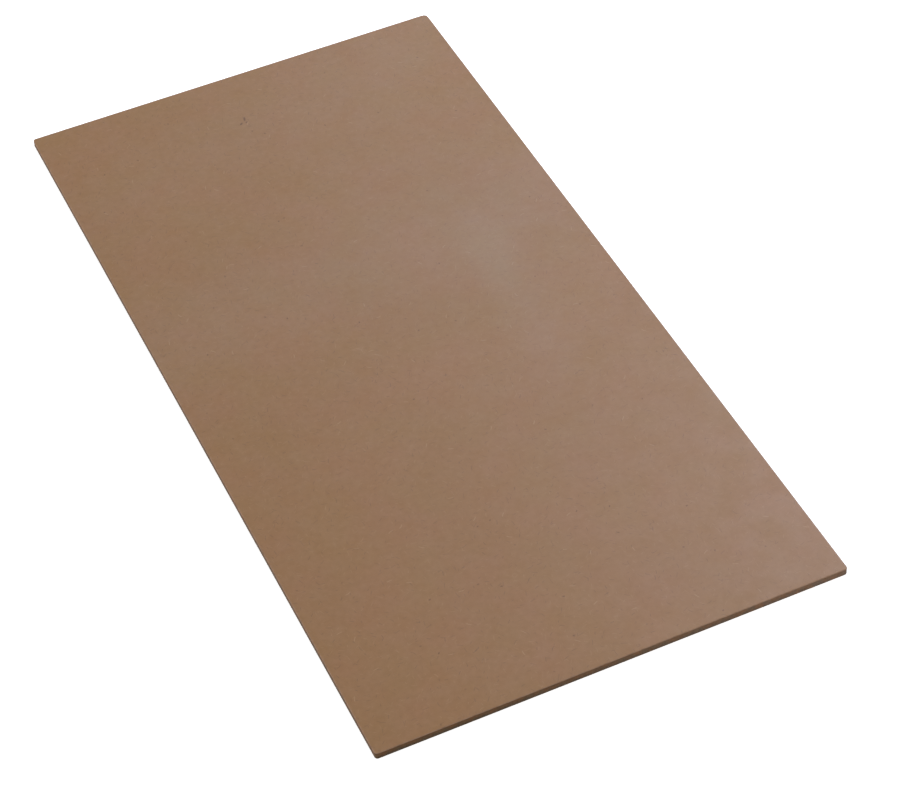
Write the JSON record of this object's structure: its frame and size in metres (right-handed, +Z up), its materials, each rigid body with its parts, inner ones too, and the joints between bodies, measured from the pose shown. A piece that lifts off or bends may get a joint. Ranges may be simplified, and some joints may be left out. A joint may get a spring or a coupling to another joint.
{
  "type": "hardboard sheet",
  "caption": "Flat rectangular hardboard sheet, smooth on one face and screen-textured on the other, with square sawn edges and lightly blunted corners.",
  "frame": {"origin": "centre of the screen back, on the surface that the sheet lies on", "axes": "+X across the sheet's width, +Y along its length, +Z up out of its smooth face"},
  "size_m": [0.305, 0.61, 0.0048],
  "materials": {
    "hardboard": "satin"
  },
  "bodies": {
    "root": {"hardboard_sheet": "hardboard"}
  },
  "joints": []
}
